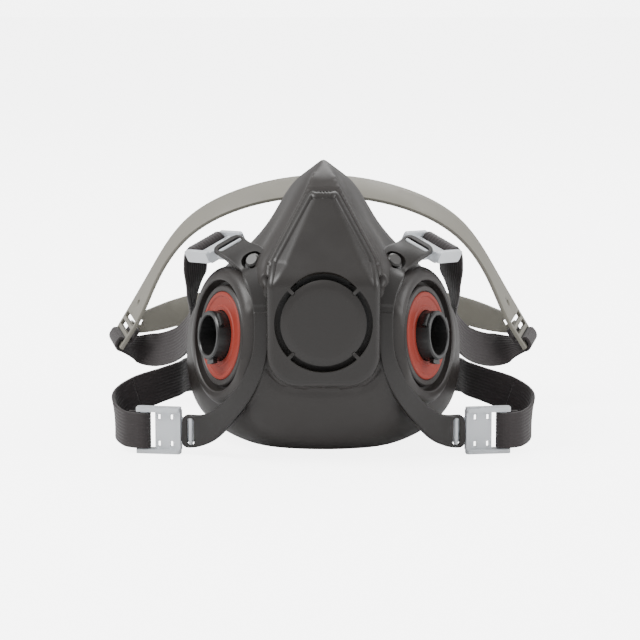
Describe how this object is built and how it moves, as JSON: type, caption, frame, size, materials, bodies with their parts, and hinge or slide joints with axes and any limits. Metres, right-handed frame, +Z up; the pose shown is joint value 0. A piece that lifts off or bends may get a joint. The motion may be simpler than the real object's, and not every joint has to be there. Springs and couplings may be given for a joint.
{
  "type": "half-face respirator",
  "caption": "Reusable half-face respirator with a soft shell, bayonet filter ports, a covered exhalation valve and a head harness with a crown cradle.",
  "frame": {"origin": "on the floor under the middle of the overall box", "axes": "+X to the right as seen from the front, +Y from the front of the respirator toward the back of the head, +Z up"},
  "size_m": [0.2058, 0.1672, 0.1279],
  "materials": {
    "facepiece_elastomer": "soft matt dark grey elastomer",
    "cover_plastic": "matt dark grey moulded plastic",
    "yoke_plastic": "matt dark grey moulded plastic",
    "seat_plastic": "black moulded plastic",
    "connector_plastic": "black moulded plastic with a low sheen",
    "gasket_rubber": "orange-red moulded rubber",
    "valve_rubber": "thin pale natural rubber",
    "stud_plastic": "black moulded plastic",
    "buckle_plastic": "translucent milky white moulded plastic",
    "strap_webbing": "ribbed elastic webbing",
    "cradle_plastic": "matt beige-grey flexible plastic",
    "clip_plastic": "translucent milky white moulded plastic"
  },
  "bodies": {
    "facepiece": {"face_seal": "facepiece_elastomer", "exhalation_valve_seat": "seat_plastic", "right_bayonet_connector": "connector_plastic", "right_port_gasket": "gasket_rubber", "right_harness_yoke": "yoke_plastic", "right_yoke_stud": "stud_plastic", "right_upper_strap": "strap_webbing", "right_lower_strap": "strap_webbing", "left_bayonet_connector": "connector_plastic", "left_port_gasket": "gasket_rubber", "left_harness_yoke": "yoke_plastic", "left_yoke_stud": "stud_plastic", "left_upper_strap": "strap_webbing", "left_lower_strap": "strap_webbing", "neck_clip_loop": "clip_plastic"},
    "valve_cover": {"valve_cover": "cover_plastic"},
    "exhalation_valve": {"exhalation_valve": "valve_rubber"},
    "right_inhalation_valve": {"right_inhalation_valve": "valve_rubber"},
    "left_inhalation_valve": {"left_inhalation_valve": "valve_rubber"},
    "right_upper_buckle": {"right_upper_buckle": "buckle_plastic"},
    "left_upper_buckle": {"left_upper_buckle": "buckle_plastic"},
    "right_lower_buckle": {"right_lower_buckle": "buckle_plastic"},
    "left_lower_buckle": {"left_lower_buckle": "buckle_plastic"},
    "crown_cradle": {"crown_cradle": "cradle_plastic"},
    "neck_clip_hook": {"neck_clip_hook": "clip_plastic"}
  },
  "joints": [
    {"name": "cover_release", "type": "slide", "parent": "facepiece", "child": "valve_cover", "axis": [0, -1, 0], "range_m": [0, 0.014]},
    {"name": "exhalation_valve_lift", "type": "slide", "parent": "facepiece", "child": "exhalation_valve", "axis": [0, -1, 0], "range_m": [0, 0.002], "stiffness_N_per_m": 20},
    {"name": "right_inhalation_valve_lift", "type": "slide", "parent": "facepiece", "child": "right_inhalation_valve", "axis": [-0.8861, 0.4515, -0.1045], "range_m": [0, 0.002], "stiffness_N_per_m": 20},
    {"name": "left_inhalation_valve_lift", "type": "slide", "parent": "facepiece", "child": "left_inhalation_valve", "axis": [0.8861, 0.4515, -0.1045], "range_m": [0, 0.002], "stiffness_N_per_m": 20},
    {"name": "right_upper_buckle_hinge", "type": "hinge", "parent": "facepiece", "child": "right_upper_buckle", "pos_m": [0.0407, -0.0492, 0.0926], "axis": [-0.7723, 0.5026, 0.3886], "range_deg": [-24, 9], "deforming": ["right_upper_strap"]},
    {"name": "left_upper_buckle_hinge", "type": "hinge", "parent": "facepiece", "child": "left_upper_buckle", "pos_m": [-0.0407, -0.0492, 0.0926], "axis": [-0.7723, -0.5026, -0.3886], "range_deg": [-24, 9], "deforming": ["left_upper_strap"]},
    {"name": "right_lower_buckle_hinge", "type": "hinge", "parent": "facepiece", "child": "right_lower_buckle", "pos_m": [0.0584, -0.0526, 0.0106], "axis": [0, 0, 1], "range_deg": [-14, 20], "deforming": ["right_lower_strap"]},
    {"name": "left_lower_buckle_hinge", "type": "hinge", "parent": "facepiece", "child": "left_lower_buckle", "pos_m": [-0.0584, -0.0526, 0.0106], "axis": [0, 0, -1], "range_deg": [-14, 20], "deforming": ["left_lower_strap"]},
    {"name": "cradle_swing", "type": "hinge", "parent": "facepiece", "child": "crown_cradle", "pos_m": [0, 0.0534, 0.05], "axis": [1, 0, 0], "range_deg": [-30, 25], "deforming": ["right_upper_strap", "left_upper_strap"]},
    {"name": "neck_clip_release", "type": "slide", "parent": "facepiece", "child": "neck_clip_hook", "axis": [0, -1, 0], "range_m": [0, 0.009], "deforming": ["left_lower_strap"]}
  ]
}
